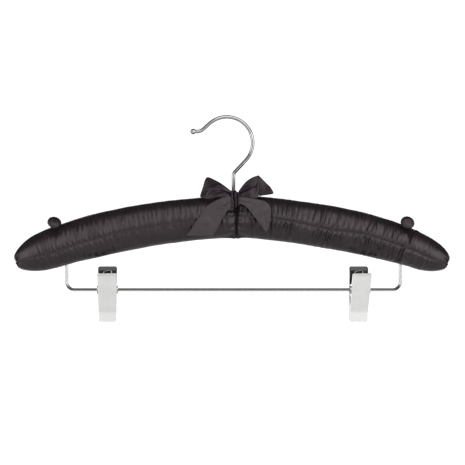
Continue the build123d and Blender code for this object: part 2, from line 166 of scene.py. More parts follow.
def points_of(piece):
    """The piece's vertices as an array."""
    return read_all(piece.data.vertices, "co")


def move_points(piece, co):
    """Put the piece's vertices at these places."""
    piece.data.vertices.foreach_set("co", np.asarray(co, np.float32).ravel())
    piece.data.update()


def apply_modifiers(piece):
    """Apply every modifier in order."""
    pick(piece)
    for modifier in list(piece.modifiers):
        bpy.ops.object.modifier_apply(modifier=modifier.name)


def smooth(piece):
    """Shade the piece smoothly."""
    pick(piece)
    bpy.ops.object.shade_smooth()


def edit_all(*changes):
    """Make changes to the whole active piece in edit mode."""
    bpy.ops.object.mode_set(mode="EDIT")
    bpy.ops.mesh.select_all(action="SELECT")
    for change, settings in changes:
        change(**settings)
    bpy.ops.object.mode_set(mode="OBJECT")


def weld(piece, distance):
    """Merge points that meet and turn the faces outwards."""
    pick(piece)
    edit_all((bpy.ops.mesh.remove_doubles, {"threshold": distance}),
             (bpy.ops.mesh.normals_make_consistent, {"inside": False}))


def thicken(piece, thickness):
    """Give a sheet its thickness, half to each side."""
    wall = piece.modifiers.new("thickness", "SOLIDIFY")
    wall.thickness, wall.offset = thickness, 0


def refine(piece):
    """Divide every face once, apply the modifiers and shade the piece smoothly."""
    finer = piece.modifiers.new("finer", "SUBSURF")
    finer.levels = finer.render_levels = 1
    apply_modifiers(piece)
    smooth(piece)


def cloth_panel(name, columns, rows):
    """A flat panel of cloth, columns by rows faces, whose UV map is its weave."""
    deselect_all()
    bpy.ops.mesh.primitive_grid_add(
        x_subdivisions=columns, y_subdivisions=rows, size=1, location=(0.5, 0.5, 0), calc_uvs=True
    )
    panel = bpy.context.object
    bpy.ops.object.transform_apply(location=True, rotation=True, scale=True)
    panel.name = panel.data.name = name
    return panel


def soft_step(x):
    """Nought below nought, one above one, and smooth between."""
    t = np.clip(x, 0, 1)
    return t * t * (3 - 2 * t)


# ---- node materials
class Finish:
    """A node material that is put together one node at a time."""

    def __init__(self, name):
        self.material = bpy.data.materials.new(name)
        self.material.use_nodes = True
        self.tree = self.material.node_tree
        self.shader = self.tree.nodes["Principled BSDF"]
        self.depth = 0

    def node(self, kind, settings=None, **inputs):
        """Add a node. Inputs are values or the outputs of other nodes."""
        made = self.tree.nodes.new(kind)
        made.location = (-1400 + 40 * self.depth, 300 - 60 * self.depth)
        self.depth += 1
        for key, value in (settings or {}).items():
            setattr(made, key, value)
        for key, value in inputs.items():
            self.feed(made.inputs[key.replace("_", " ")], value)
        return made

    def feed(self, socket, value):
        """Link an output to a socket, or set the socket's value."""
        if isinstance(value, bpy.types.NodeSocket):
            self.tree.links.new(value, socket)
        else:
            socket.default_value = value

    def shade(self, **inputs):
        """Set the shader's own inputs."""
        for key, value in inputs.items():
            self.feed(self.shader.inputs[key.replace("_", " ")], value)

    def coordinates(self, which, scale=(1, 1, 1), turn=(0, 0, 0)):
        """Object or UV coordinates, scaled and turned."""
        source = self.node("ShaderNodeTexCoord").outputs[which]
        return self.node("ShaderNodeMapping", Vector=source, Scale=scale, Rotation=turn).outputs["Vector"]

    def noise(self, vector, scale, detail=3.0, roughness=0.55):
        """Smooth random values from 0 to 1."""
        made = self.node("ShaderNodeTexNoise", Vector=vector, Scale=scale, Detail=detail, Roughness=roughness)
        return made.outputs["Fac"]

    def grain(self, scale, detail=3.0, roughness=0.55):
        """Random values that stay with the piece, this fine along x, y and z."""
        return self.noise(self.coordinates("Object", scale), 1.0, detail, roughness)

    def waves(self, vector, direction, scale=1.0, **shape):
        """Stripes from 0 to 1."""
        made = self.node("ShaderNodeTexWave", {"bands_direction": direction}, Vector=vector, Scale=scale, **shape)
        return made.outputs["Fac"]

    def span(self, value, low, high, from_low=0.3, from_high=0.7):
        """Stretch a value from one range to another."""
        made = self.node("ShaderNodeMapRange", Value=value)
        for key, number in (("From Min", from_low), ("From Max", from_high), ("To Min", low), ("To Max", high)):
            made.inputs[key].default_value = number
        return made.outputs["Result"]

    def math(self, operation, a, b):
        """One sum."""
        made = self.node("ShaderNodeMath", {"operation": operation})
        self.feed(made.inputs[0], a)
        self.feed(made.inputs[1], b)
        return made.outputs["Value"]

    def tint(self, factor, dark, light):
        """A colour between two, by a factor."""
        made = self.node("ShaderNodeMix", {"data_type": "RGBA"})
        self.feed(made.inputs[0], factor)
        self.feed(made.inputs[6], (*dark, 1))
        self.feed(made.inputs[7], (*light, 1))
        return made.outputs[2]

    def bump(self, height, strength, distance, under=None):
        """Relief, on top of another relief if there is one."""
        made = self.node("ShaderNodeBump", Height=height, Strength=strength, Distance=distance)
        if under is not None:
            self.feed(made.inputs["Normal"], under)
        return made.outputs["Normal"]


def times(colour, factor):
    """A colour made lighter or darker."""
    return tuple(min(1.0, channel * factor) for channel in colour)


def satin_finish(name, colour, threads, spread=0.18, gloss=0.31, shine=0.41):
    """Polyester satin: floats of fine thread across the panel, a directional sheen and slight slubs."""
    cloth = Finish(name)
    weave = cloth.coordinates("UV", (threads[0], threads[1], 1))
    floats = cloth.waves(weave, "DIAGONAL", Distortion=1.2, Detail=1.0)
    slubs = cloth.noise(cloth.coordinates("UV", (threads[0] * 0.16, threads[1] * 0.03, 1)), 1.0, 5.0, 0.6)
    cloudy = cloth.grain((60, 60, 60), 2.0)
    shade = cloth.span(cloth.math("ADD", slubs, cloudy), 0, 1, 0.75, 1.25)
    cloth.shade(
        Base_Color=cloth.tint(shade, times(colour, 1 - spread), times(colour, 1 + spread)),
        Roughness=cloth.span(slubs, gloss - 0.04, gloss + 0.07),
        Anisotropic=0.35,
        Sheen_Weight=0.04,
        Sheen_Roughness=0.4,
        Specular_IOR_Level=shine,
        Specular_Tint=(1.0, 0.90, 0.945, 1),
    )
    relief = cloth.bump(slubs, 0.5, 0.0004)
    cloth.shade(Normal=cloth.bump(floats, 0.12, 0.00008, relief))
    tangent = cloth.node("ShaderNodeTangent", {"direction_type": "UV_MAP"})
    cloth.shade(Tangent=tangent.outputs["Tangent"])
    return cloth.material


def plated_finish(name, colour, gloss, grain, grain_strength):
    """Chrome plate with faint polishing lines and a few smears."""
    metal = Finish(name)
    lines = metal.grain(grain, 4.0, 0.6)
    smears = metal.grain((90, 90, 90))
    metal.shade(
        Base_Color=metal.tint(metal.span(smears, 0, 1), times(colour, 0.95), times(colour, 1.03)),
        Metallic=1.0,
        Roughness=metal.span(smears, gloss, gloss + 0.06),
        Normal=metal.bump(lines, grain_strength, 0.00005),
    )
    return metal.material


def jaw_finish_painted_shade(name, outside, inside):
    """Pressed sheet, bright on its back; painted shade makes the face towards the other jaw dark."""
    metal = Finish(name)
    normal = metal.node("ShaderNodeTexCoord").outputs["Normal"]
    facing = metal.node("ShaderNodeSeparateXYZ", Vector=normal).outputs["Y"]
    # painted shade: faces turned to the front, towards the other jaw, take the dark inside colour
    back = metal.span(facing, 0, 1, -0.2, 0.2)
    lines = metal.grain((1500, 1500, 60), 4.0, 0.6)
    metal.shade(
        Base_Color=metal.tint(back, inside, outside),
        Metallic=1.0,
        Roughness=metal.span(back, 0.32, 0.17, 0, 1),
        Normal=metal.bump(lines, 0.06, 0.00005),
    )
    return metal.material


# Heights in metres between which the bar's painted dark reflection band fades out, above and below.
BAR_PAINTED_REFLECTION_TOP = (-0.1478, -0.144)
BAR_PAINTED_REFLECTION_FOOT = (-0.15030, -0.15015)


def bar_finish_painted_reflection(colour):
    """Drawn wire, bright but for a painted dark reflection band along the top of the level run."""
    wire = Finish("drawn_bar_wire_painted_reflection")
    place = wire.node("ShaderNodeTexCoord").outputs["Object"]
    height = wire.node("ShaderNodeSeparateXYZ", Vector=place).outputs["Z"]
    # painted reflection: between these heights, over the top half of the level run, the wire takes the dark colour
    legs = wire.span(height, 0, 1, *BAR_PAINTED_REFLECTION_TOP)
    under = wire.span(height, 1, 0, *BAR_PAINTED_REFLECTION_FOOT)
    lines = wire.grain((60, 900, 900), 4.0, 0.6)
    wire.shade(
        Base_Color=wire.tint(wire.math("MAXIMUM", legs, under), times(colour, 0.10), times(colour, 0.74)),
        Metallic=1.0,
        Roughness=wire.span(lines, 0.16, 0.26),
        Normal=wire.bump(lines, 0.02, 0.00005),
    )
    return wire.material


def thread_finish(name, colour):
    """Spun thread with a twist."""
    thread = Finish(name)
    twist = thread.waves(thread.coordinates("Object", (2500, 2500, 2500)), "DIAGONAL", Distortion=0.6)
    thread.shade(
        Base_Color=thread.tint(twist, times(colour, 0.7), times(colour, 1.3)),
        Roughness=0.7,
        Sheen_Weight=0.3,
        Normal=thread.bump(twist, 0.5, 0.0001),
    )
    return thread.material


def grip_finish(name, colour):
    """Soft moulded grip pad, a little dusty."""
    pad = Finish(name)
    grain = pad.grain((1500, 1500, 1500))
    dust = pad.grain((150, 150, 150))
    pad.shade(
        Base_Color=pad.tint(pad.span(dust, 0, 1), times(colour, 0.85), times(colour, 1.1)),
        Roughness=pad.span(grain, 0.5, 0.65),
        Normal=pad.bump(grain, 0.3, 0.0001),
    )
    return pad.material


def wood_finish(name, colour):
    """Sanded softwood with grain along the arms."""
    wood = Finish(name)
    rings = wood.waves(wood.coordinates("Object", (6, 120, 120)), "Z", 1.5, Distortion=4.0, Detail=3.0)
    pores = wood.grain((80, 2500, 2500))
    wood.shade(
        Base_Color=wood.tint(rings, times(colour, 0.75), times(colour, 1.2)),
        Roughness=wood.span(pores, 0.55, 0.75),
        Normal=wood.bump(pores, 0.3, 0.0001),
    )
    return wood.material


def dress(node, material):
    """Give a CAD node its finish."""
    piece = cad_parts[node]
    piece.data.materials.clear()
    piece.data.materials.append(material)


# ---- stage
class HANGER_OT_stage(bpy.types.Operator):
    """Pale floor, soft lights and the camera."""

    bl_idname = "hanger.stage"
    bl_label = "Studio"

    def execute(self, context):
        sizes, colours = context.scene.hanger_sizes, context.scene.hanger_colours
        lay_floor(colours.floor)
        hang_lights()
        light_room(context.scene)
        place_camera(context.scene, sizes.camera_distance, sizes.frame_width)
        return {"FINISHED"}


FLOOR_SIZE = 4
FLOOR_Y = -1.05
FLOOR_DROP = 0.32


def lay_floor(colour):
    """A wide pale floor well below the hanger."""
    deselect_all()
    bpy.ops.mesh.primitive_plane_add(size=FLOOR_SIZE, location=(0, FLOOR_Y, CAD_LOW.z - FLOOR_DROP))
    floor = bpy.context.object
    bpy.ops.object.transform_apply(location=True)
    floor.name = "floor"
    paint = Finish("floor_paint")
    mottle = paint.grain((3, 3, 3), 2.0)
    paint.shade(Base_Color=paint.tint(mottle, times(colour, 0.99), times(colour, 1.01)), Roughness=0.85)
    floor.data.materials.append(paint.material)


# Name, place, what it faces, width in metres and power in watts.
SOFT_BOXES = (
    ("front_top", (0.4, -1.3, 0.95), (0, 0, -0.1), 1.8, 18.5),
    ("left_side", (-1.5, -1.0, -0.05), (0, 0, -0.1), 1.5, 17),
    ("right_side", (1.5, -1.0, -0.05), (0, 0, -0.1), 1.5, 17),
    ("floor_wash", (0, -1.6, -0.2), (0, -1.6, -1), 3.0, 4.6),
    ("behind", (0, 1.7, -0.1), (0, 0, -0.1), 1.6, 9),
)


def hang_lights():
    """Large soft boxes: overhead, each side, behind, and one low over the floor in front."""
    for name, place, aim, size, power in SOFT_BOXES:
        deselect_all()
        bpy.ops.object.light_add(type="AREA", location=place)
        box = bpy.context.object
        box.name = name
        box.data.shape = "SQUARE"
        box.data.size = size
        box.data.energy = power
        box.visible_camera = False
        box.rotation_euler = (Vector(aim) - Vector(place)).to_track_quat("-Z", "Y").to_euler()


# Brightness of the room to the camera and in reflections, and its greys from the front (0) to the back (1).
SEEN_STRENGTH = 1.15
ROOM_STRENGTH = 0.9
ROOM_FRONT = 0.48
ROOM_BACK = 1.0
ROOM_GREYS = ((0.2, 0.42), (0.32, 0.08), (0.42, 0.015), (0.99, 0.015), (0.998, 0.5))


def light_room(scene):
    """White to the camera itself. What the chrome mirrors is pale in front, dark round the sides and behind."""
    world = bpy.data.worlds.new("studio_room")
    scene.world = world
    world.use_nodes = True
    tree = world.node_tree
    tree.nodes.clear()
    out, mix, seen, room, rays, place, axes, depth, ramp = (tree.nodes.new(f"ShaderNode{kind}") for kind in (
        "OutputWorld", "MixShader", "Background", "Background", "LightPath", "TexCoord", "SeparateXYZ", "MapRange",
        "ValToRGB"))
    seen.inputs["Color"].default_value = (1, 1, 1, 1)
    seen.inputs["Strength"].default_value = SEEN_STRENGTH
    room.inputs["Strength"].default_value = ROOM_STRENGTH
    depth.inputs["From Min"].default_value, depth.inputs["From Max"].default_value = -1, 1
    stops = ramp.color_ramp.elements
    for stop, grey in ((stops[0], ROOM_FRONT), (stops[1], ROOM_BACK)):
        stop.color = (grey, grey, grey, 1)
    for position, grey in ROOM_GREYS:
        stops.new(position).color = (grey, grey, grey, 1)
    for source, target in (
        (place.outputs["Generated"], axes.inputs["Vector"]), (axes.outputs["Y"], depth.inputs["Value"]),
        (depth.outputs["Result"], ramp.inputs["Fac"]), (ramp.outputs["Color"], room.inputs["Color"]),
        (rays.outputs["Is Camera Ray"], mix.inputs["Fac"]), (room.outputs["Background"], mix.inputs[1]),
        (seen.outputs["Background"], mix.inputs[2]), (mix.outputs["Shader"], out.inputs["Surface"]),
    ):
        tree.links.new(source, target)
    scene.view_settings.view_transform = "Standard"
    scene.view_settings.look = "None"


CAMERA_X = -0.0009
CAMERA_Z = -0.0995
SENSOR_MM = 36


def place_camera(scene, distance, width):
    """Level and square to the front, a hair left of the stem."""
    deselect_all()
    bpy.ops.object.camera_add(location=(CAMERA_X, -distance, CAMERA_Z), rotation=(math.pi / 2, 0, 0))
    camera = bpy.context.object
    camera.name = "camera"
    camera.data.sensor_width = SENSOR_MM
    camera.data.lens = SENSOR_MM * distance / width
    camera.data.clip_start, camera.data.clip_end = 0.05, 60
    camera.data.dof.use_dof = False
    scene.camera = camera


# ---- plated and hidden pieces
class HANGER_OT_hardware(bpy.types.Operator):
    """Finishes of the clips and of the pieces inside the arms."""

    bl_idname = "hanger.hardware"
    bl_label = "Clips and core"

    def execute(self, context):
        colours = context.scene.hanger_colours
        plate = plated_finish("satin_chrome_plate", times(colours.chrome, 1.2), 0.15, (1500, 1500, 60), 0.05)
        # the rear jaws carry painted shade on their faces towards the front jaws
        plate_with_painted_shade = jaw_finish_painted_shade("rear_jaw_plate_painted_shade", times(colours.chrome, 1.1), times(colours.chrome, 0.085))
        rivet = plated_finish("chrome_rivet", times(colours.chrome, 0.55), 0.2, (400, 400, 400), 0.05)
        steel = plated_finish("plain_steel", times(colours.chrome, 0.6), 0.3, (500, 500, 500), 0.1)
        dress("wood_core", wood_finish("softwood", colours.wood))
        for node in ("stem_bush", "stem_washer"):
            dress(node, steel)
        grip = grip_finish("grip_pad", colours.grip)
        for side, _ in SIDES:
            for node, material in (
                ("front_jaw", plate), ("rear_jaw", plate_with_painted_shade), ("front_pad", grip), ("rear_pad", grip),
                ("eyelet", rivet),
            ):
                dress(f"{side}_clip_{node}", material)
            for node in ("shell", "back"):
                dress(f"{side}_button_{node}", steel)
        return {"FINISHED"}


# ---- wires
# In millimetres, in x and z. The mouth is where the arc ends, in degrees round it.
HOOK_WIRE = 3.2
HOOK_RADIUS = 22.8
HOOK_CENTRE = (-5.9, -20.358)
HOOK_MOUTH = 132.0
HOOK_BEAD = (-35.5, 2.5)  # x of its middle, and its radius
FLICK_BEND_RADIUS = 8.4
STEM_BEND = -47.4
STEM_BEND_RADIUS = 4.5
BAR_WIRE = 2.7
BAR_LEG = 147.1
BAR_LEVEL = -150.0
BAR_BEND_RADIUS = 7.0
BUSH_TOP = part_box("stem_bush")[1].z + 0.05 * MM


def rounded(corners, radius):
    """A path through corners, in x and z, with each inner corner rounded to the radius."""
    corners = [np.array(corner, float) for corner in corners]
    path = [corners[0]]
    for before, corner, after in zip(corners, corners[1:], corners[2:]):
        come = (before - corner) / np.linalg.norm(before - corner)
        leave = (after - corner) / np.linalg.norm(after - corner)
        half = math.acos(np.clip(come @ leave, -1, 1)) / 2
        centre = corner + (come + leave) / np.linalg.norm(come + leave) * radius / math.sin(half)
        first, last = corner + come * radius / math.tan(half), corner + leave * radius / math.tan(half)
        start, end = (math.atan2(*(point - centre)[::-1]) for point in (first, last))
        sweep = (end - start + math.pi) % (2 * math.pi) - math.pi
        for step in np.linspace(0, 1, max(6, int(abs(math.degrees(sweep)) / 2.5))):
            turn = start + sweep * step
            path.append(centre + radius * np.array((math.cos(turn), math.sin(turn))))
    path.append(corners[-1])
    return path


def draw_wire(name, path, diameter):
    """Round wire bent along a path in x and z, in millimetres."""
    line = bpy.data.curves.new(name, "CURVE")
    line.dimensions = "3D"
    run = line.splines.new("POLY")
    run.points.add(len(path) - 1)
    for point, (x, z) in zip(run.points, path):
        point.co = (x * MM, 0, z * MM, 1)
    line.bevel_depth, line.bevel_resolution, line.use_fill_caps = diameter / 2, 10, True
    wire = bpy.data.objects.new(name, line)
    bpy.context.scene.collection.objects.link(wire)
    pick(wire)
    bpy.ops.object.convert(target="MESH")
    weld(wire, 1e-7)
    bpy.ops.object.shade_smooth_by_angle(angle=math.radians(40))
    return wire


def hook_path():
    """From the bead round the flick, the arc and the slant to the stem's end."""
    centre = np.array(HOOK_CENTRE)

    def on_arc(angle):
        return centre + HOOK_RADIUS * np.array((math.cos(math.radians(angle)), math.sin(math.radians(angle))))

    to_centre = centre - np.array((0, STEM_BEND))
    leave = math.degrees(math.atan2(to_centre[1], to_centre[0])) - math.degrees(
        math.asin(HOOK_RADIUS / np.linalg.norm(to_centre))) - 90
    mouth, fall = on_arc(HOOK_MOUTH), math.radians(HOOK_MOUTH - 90)
    run = (mouth[0] - HOOK_BEAD[0]) * 0.55
    corner = mouth + np.array((-math.cos(fall), -math.sin(fall))) * run / math.cos(fall)
    bead = np.array((HOOK_BEAD[0], corner[1]))
    arc = [on_arc(angle) for angle in np.arange(HOOK_MOUTH - 2, leave + 1, -2)]
    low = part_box("hook")[0].z / MM
    flick = rounded([bead, corner, mouth], FLICK_BEND_RADIUS)
    return flick + arc + rounded([on_arc(leave), (0, STEM_BEND), (0, low)], STEM_BEND_RADIUS), bead


class HANGER_OT_wires(bpy.types.Operator):
    """The hook and the trouser bar, bent from round wire."""

    bl_idname = "hanger.wires"
    bl_label = "Hook and trouser bar"

    def execute(self, context):
        chrome = context.scene.hanger_colours.chrome
        bright = plated_finish("bright_chrome_wire", times(chrome, 0.52), 0.07, (300, 300, 60), 0.01)
        # the bar's finish holds a painted dark reflection band
        drawn = bar_finish_painted_reflection(chrome)
        path, bead = hook_path()
        hook = draw_wire("hook_wire", path, HOOK_WIRE * MM)
        deselect_all()
        bpy.ops.mesh.primitive_uv_sphere_add(segments=48, ring_count=24, radius=HOOK_BEAD[1] * MM,
                                             location=(bead[0] * MM, 0, bead[1] * MM))
        ball = context.object
        bpy.ops.object.shade_smooth()
        parts = [ball]
        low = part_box("hook")[0].z
        for radius, bottom, height in ((2.9, low, 1.4), (2.7, BUSH_TOP, 1.2)):
            bpy.ops.mesh.primitive_cylinder_add(vertices=48, radius=radius * MM, depth=height * MM,
                                                location=(0, 0, bottom + height * MM / 2))
            collar = context.object
            edit_all((bpy.ops.mesh.bevel, {"offset": 0.2 * MM, "segments": 2}))
            parts.append(collar)
        deselect_all()
        for part in (*parts, hook):
            part.select_set(True)
        context.view_layer.objects.active = hook
        bpy.ops.object.join()
        bar_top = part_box("trouser_bar")[1].z / MM
        corners = [(-BAR_LEG, bar_top), (-BAR_LEG, BAR_LEVEL), (BAR_LEG, BAR_LEVEL), (BAR_LEG, bar_top)]
        bar = draw_wire("trouser_bar_wire", rounded(corners, BAR_BEND_RADIUS), BAR_WIRE * MM)
        for piece, node, body, finish in ((hook, "hook", "hook", bright), (bar, "trouser_bar", "hanger", drawn)):
            piece.data.materials.clear()
            piece.data.materials.append(finish)
            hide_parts(node)
            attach(piece, body)
        return {"FINISHED"}


# ---- sleeves
ARM_Z = -84.5 * MM
ARM_HALF_HEIGHT = 18.3 * MM
ARM_HALF_DEPTH = 16.0 * MM
ARM_CAP = 37.3 * MM
ARM_BENDS = ((0.0, 3.2), (112.0 * MM, 12.8), (154.77 * MM, 19.2))  # distance from the middle, slope in degrees
SECTION_RADIUS = 17.3
LEFT_REACH = 2.9 * MM
SLEEVE_FACES = (230, 92)
SEAM_BAND = 0.02  # radians each side of the seam
SETTLE_SCALE = 10
SETTLE_STEPS = 14

# How each arm departs from its pattern, by distance from the middle in millimetres:
# share of the full height, lift of the section, and height of the seam in degrees.
ARM_FIT = {
    "left": ((0, 1.02, -0.4, 0), (20, 1.035, -0.6, -6), (45, 1.04, -0.4, -8), (75, 1.055, 0, -8),
             (108, 1.06, 0.1, -8), (122, 1.055, 0.1, -10), (132, 1.03, 0.3, -11), (140, 1.0, 0.5, -13),
             (165, 0.975, 0.8, -15),
             (178, 1.0, 0.7, -10), (194, 1.04, 0.4, 0)),
    "right": ((0, 1.03, -0.3, 0), (15, 1.035, -0.2, -2), (32, 1.03, -0.3, 0), (59, 1.035, -0.4, -4),
              (85, 1.05, -0.1, -10), (112, 1.03, -0.1, -2), (138, 0.975, -0.1, -6), (159, 0.885, -0.3, -8),
              (173, 0.905, -1.0, -12),
              (187, 0.97, -1.4, -6), (194, 0.98, -1.6, 0)),
}
# Strength of the gathers above and below the seam, by distance from the middle in millimetres.
ARM_GATHERS = {
    "left": ((0, 0.7, 0.5), (22, 0.5, 0.35), (45, 0.4, 0.25), (85, 0.35, 0.2), (108, 0.45, 0.25), (120, 0.95, 0.4),
             (150, 1.15, 0.55), (166, 1.0, 0.45), (178, 0.5, 0.3), (190, 0, 0)),
    "right": ((0, 1.1, 0.4), (22, 0.7, 0.7), (34, 1.0, 1.15), (62, 0.9, 1.1), (68, 0.5, 0.6), (76, 1.0, 1.1),
              (98, 1.1, 1.15), (108, 0.5, 0.8), (124, 0.9, 1.1), (148, 1.1, 1.1), (160, 0.6, 0.8), (176, 0.6, 0.5),
              (190, 0, 0)),
}


def arm_line(x):
    """Height and slope of the arm's centreline at distances x from the middle."""
    x = np.asarray(x, float)
    z, slope = np.full(x.shape, ARM_Z), np.full(x.shape, math.radians(ARM_BENDS[0][1]))
    for (x0, a0), (x1, a1) in zip(ARM_BENDS, ARM_BENDS[1:]):
        sine0, sine1 = math.sin(math.radians(a0)), math.sin(math.radians(a1))
        radius = (x1 - x0) / (sine1 - sine0)
        sine = sine0 + (np.clip(x, x0, x1) - x0) / radius
        z = z + radius * (np.sqrt(1 - sine**2) - math.sqrt(1 - sine0**2))
        slope = np.where(x > x0, np.arcsin(sine), slope)
    last_x, last = ARM_BENDS[-1][0], math.radians(ARM_BENDS[-1][1])
    return z - np.clip(x - last_x, 0, None) * math.tan(last), slope


def arm_stations(count, reach):
    """Even places along the arm's surface: centreline x, the section's share of full size, and the way there."""
    tilt = math.radians(ARM_BENDS[-1][1])
    shaft = np.linspace(0, ARM_BENDS[-1][0], 400)
    turn = np.linspace(0, math.pi / 2 - 0.02, 400)[1:]
    x = np.concatenate([shaft, ARM_BENDS[-1][0] + (ARM_CAP + reach) * np.sin(turn) * math.cos(tilt)])
    share = np.concatenate([np.ones(400), np.cos(turn)])
    way = np.concatenate([[0], np.cumsum(np.hypot(np.diff(x) / math.cos(tilt), np.diff(share) * ARM_HALF_HEIGHT))])
    even = np.linspace(0, way[-1], count + 1)
    return np.interp(even, way, x), np.interp(even, way, share), even


def between(table, column, x):
    """One column of a table in millimetres, read at distances x."""
    keys = np.array(table, float)
    return np.interp(x, keys[:, 0] * MM, keys[:, column])


def wrap_sleeve(panel, side, sign, columns):
    """Wrap the flat panel round the arm, its long edges meeting at the front seam."""
    x, share, way = arm_stations(columns, LEFT_REACH if side == "left" else 0.0)
    z, slope = arm_line(x)
    flat = points_of(panel)
    along = np.rint(flat[:, 0] * columns).astype(int)
    fit = ARM_FIT[side]
    turn = flat[:, 1] * 2 * math.pi
    angle = turn + np.radians(between(fit, 3, x))[along]
    out = np.sin(angle) * (share * between(fit, 1, x))[along] * ARM_HALF_HEIGHT
    co = np.empty_like(flat)
    co[:, 0] = sign * (x[along] + out * np.sin(slope[along]))
    co[:, 0] += (2.7 - 0.6 * sign) * MM * np.exp(-((way[along] / (9 * MM)) ** 2))
    co[:, 1] = -np.cos(angle) * share[along] * ARM_HALF_DEPTH
    co[:, 2] = (z + between(fit, 2, x) * MM)[along] + out * np.cos(slope[along])
    move_points(panel, co)
    return way[along], turn


def gathers(side, way, turn, height):
    """Relief of the satin where the seam, the middle, the tip and the button draw it in."""
    draw = np.random.default_rng(11 if side == "left" else 23)
    arc = turn * SECTION_RADIUS * MM
    relief = np.zeros(len(way))
    centre = 3.0 * MM
    while centre < 186 * MM:
        strength_up = between(ARM_GATHERS[side], 1, centre)
        strength_down = between(ARM_GATHERS[side], 2, centre)
        width, lean, wander = draw.uniform(0.9, 1.55) * MM, draw.normal(0, 0.11), draw.uniform(0, 6.28)
        rise = draw.uniform(0.45, 1.0) * height
        up, down = draw.uniform(9, 19) * MM, draw.uniform(8, 17) * MM
        offset = (way - centre - lean * arc - 0.35 * MM * np.sin(arc / (4.0 * MM) + wander)) / width
        crest = (1 - 0.75 * offset**2) * np.exp(-(offset**2) / 1.25)
        above = strength_up * np.exp(-((arc / up) ** 2)) * (arc > 0)
        below = 1.5 * strength_down * np.exp(-((arc / down) ** 2)) * (arc <= 0)
        relief += rise * crest * (above + below) * soft_step(np.abs(arc) / (2.4 * MM))
        centre += draw.uniform(3.4, 6.6) * MM
    # the stitched seam lies lower than the satin on either side
    seam_sink = np.exp(-((arc / (1.3 * MM)) ** 2)) * np.interp(way, (0, 0.012, 0.18, 0.19), (0.2, 1, 1, 0.2))
    relief -= (0.55 if side == "left" else 0.9) * MM * seam_sink
    # small pleats and a fold where the two sleeves meet, filled out underneath
    middle = np.exp(-((way / (9.5 * MM)) ** 2)) * soft_step((way - 1.2 * MM) / (2.6 * MM))
    relief += 1.0 * MM * middle * np.sin(13 * turn + 0.8 * np.sin(3 * turn))
    relief -= 2.4 * MM * np.exp(-((way / (4.2 * MM)) ** 2)) + 2.7 * MM * np.exp(-((way / (1.9 * MM)) ** 2))
    relief += 5.0 * MM * np.exp(-((way / (4.3 * MM)) ** 2)) * np.exp(-(((turn + math.pi / 2) / 0.3) ** 2))
    # pleats that close the tip
    rest = way.max() - way
    pleat = np.sin(11 * turn + 1.1 * np.sin(2 * turn)) + 0.5 * np.sin(17 * turn + 2)
    relief += 0.75 * MM * pleat * np.exp(-((rest / (10 * MM)) ** 2)) * soft_step(rest / (1.5 * MM))
    relief -= 2.2 * MM * np.exp(-((rest / (3.0 * MM)) ** 2))
    # one deep crease across the right arm
    if side == "right":
        band = (way - 157.5 * MM - 0.15 * arc) / (1.7 * MM)
        relief += 1.3 * MM * (0.8 * np.exp(-((band - 2.2) ** 2) / 2) - np.exp(-(band**2))) * soft_step(
            (arc + 24 * MM) / (8 * MM)) * soft_step((30 * MM - arc) / (8 * MM))
    # the dimple under the button
    button = 160.5 * MM if side == "left" else 155.5 * MM
    pull = np.hypot(way - button, arc - 18.0 * MM)
    relief -= 1.3 * MM * np.exp(-((pull / (4.2 * MM)) ** 2))
    return relief


def lumps(co):
    """Slow unevenness of the wadding under the satin."""
    return np.array([noise.noise(Vector(point) * 42) * 0.5 + noise.noise(Vector(point) * 110) * 0.22 for point in co])


def settle(sleeve, pins, rest, steps):
    """Let the spare satin buckle between the pinned seam, middle and tip."""
    pick(sleeve)
    group = sleeve.vertex_groups.new(name="sewn")
    for level in np.unique(pins):
        group.add([int(i) for i in np.nonzero(pins == level)[0]], float(level), "REPLACE")
    sleeve.shape_key_add(name="as_worn", from_mix=False)
    cut = sleeve.shape_key_add(name="as_cut", from_mix=False)
    cut.data.foreach_set("co", np.asarray(rest, np.float32).ravel())
    cloth = sleeve.modifiers.new("cloth", "CLOTH")
    satin = cloth.settings
    satin.quality = 5
    satin.mass = 0.25
    satin.air_damping = 4.0
    satin.tension_stiffness = satin.compression_stiffness = 60
    satin.shear_stiffness = 4
    satin.bending_stiffness = 0.05
    satin.bending_damping = 0.5
    satin.tension_damping = satin.compression_damping = 8
    satin.vertex_group_mass = "sewn"
    satin.pin_stiffness = 1.0
    satin.rest_shape_key = cut
    satin.use_pressure = True
    satin.uniform_pressure_force = 0.8
    satin.effector_weights.gravity = 0
    cloth.collision_settings.use_collision = False
    cloth.point_cache.frame_start, cloth.point_cache.frame_end = 1, steps
    scene = bpy.context.scene
    for number in range(1, steps + 1):
        scene.frame_set(number)
    shaped = sleeve.evaluated_get(bpy.context.evaluated_depsgraph_get())
    co = points_of(shaped)
    sleeve.modifiers.clear()
    sleeve.shape_key_clear()
    sleeve.vertex_groups.clear()
    scene.frame_set(1)
    return co


def read_layer(piece, name):
    """Values that a piece keeps at each of its points."""
    return read_all(piece.data.attributes[name].data, "value", 1)[:, 0]


def outward(piece):
    """The way each point faces."""
    return read_all(piece.data.vertices, "normal")


